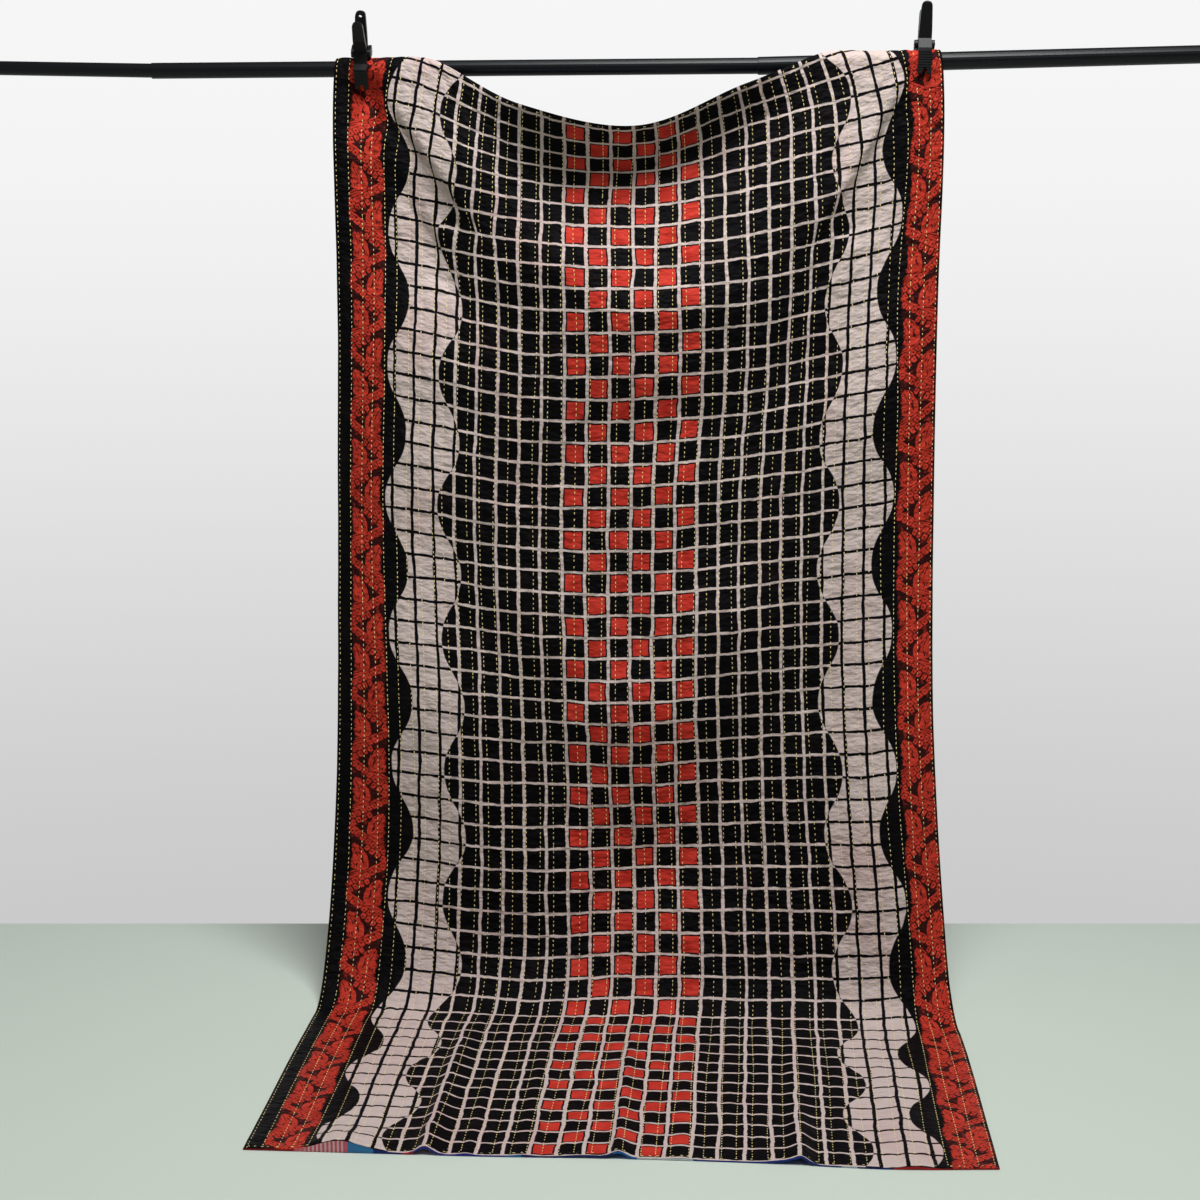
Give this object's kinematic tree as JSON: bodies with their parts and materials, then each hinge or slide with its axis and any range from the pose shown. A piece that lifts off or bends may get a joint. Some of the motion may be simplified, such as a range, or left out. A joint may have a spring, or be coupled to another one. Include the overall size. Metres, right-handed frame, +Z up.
{
  "type": "kantha quilt hung on a telescopic rod",
  "caption": "Long hand-stitched kantha quilt in a black, cream and red checked print, clipped by its top corners to a telescopic rod, sagging between the clips and running out over the floor.",
  "frame": {"origin": "centre of the flat end face of the rod's thin tube, at the viewer's left", "axes": "+X along the rod to the viewer's right, -Y towards the viewer (the side the quilt runs out to), +Z up"},
  "size_m": [2.2003, 0.7925, 1.7218],
  "materials": {
    "face_cotton": "matt printed cotton with running stitches",
    "backing_cotton": "matt printed cotton in red, pink and blue",
    "rod_paint": "satin black paint",
    "clip_plastic": "semi-matt black nylon",
    "pin_steel": "dark steel"
  },
  "bodies": {
    "root": {"quilt_face": "face_cotton", "quilt_backing": "backing_cotton", "rod_thin": "rod_paint", "rod_middle": "rod_paint", "rod_thick": "rod_paint", "clip_left_front_lever": "clip_plastic", "clip_left_back_lever": "clip_plastic", "clip_left_pin": "pin_steel", "clip_right_front_lever": "clip_plastic", "clip_right_back_lever": "clip_plastic", "clip_right_pin": "pin_steel"}
  },
  "joints": []
}
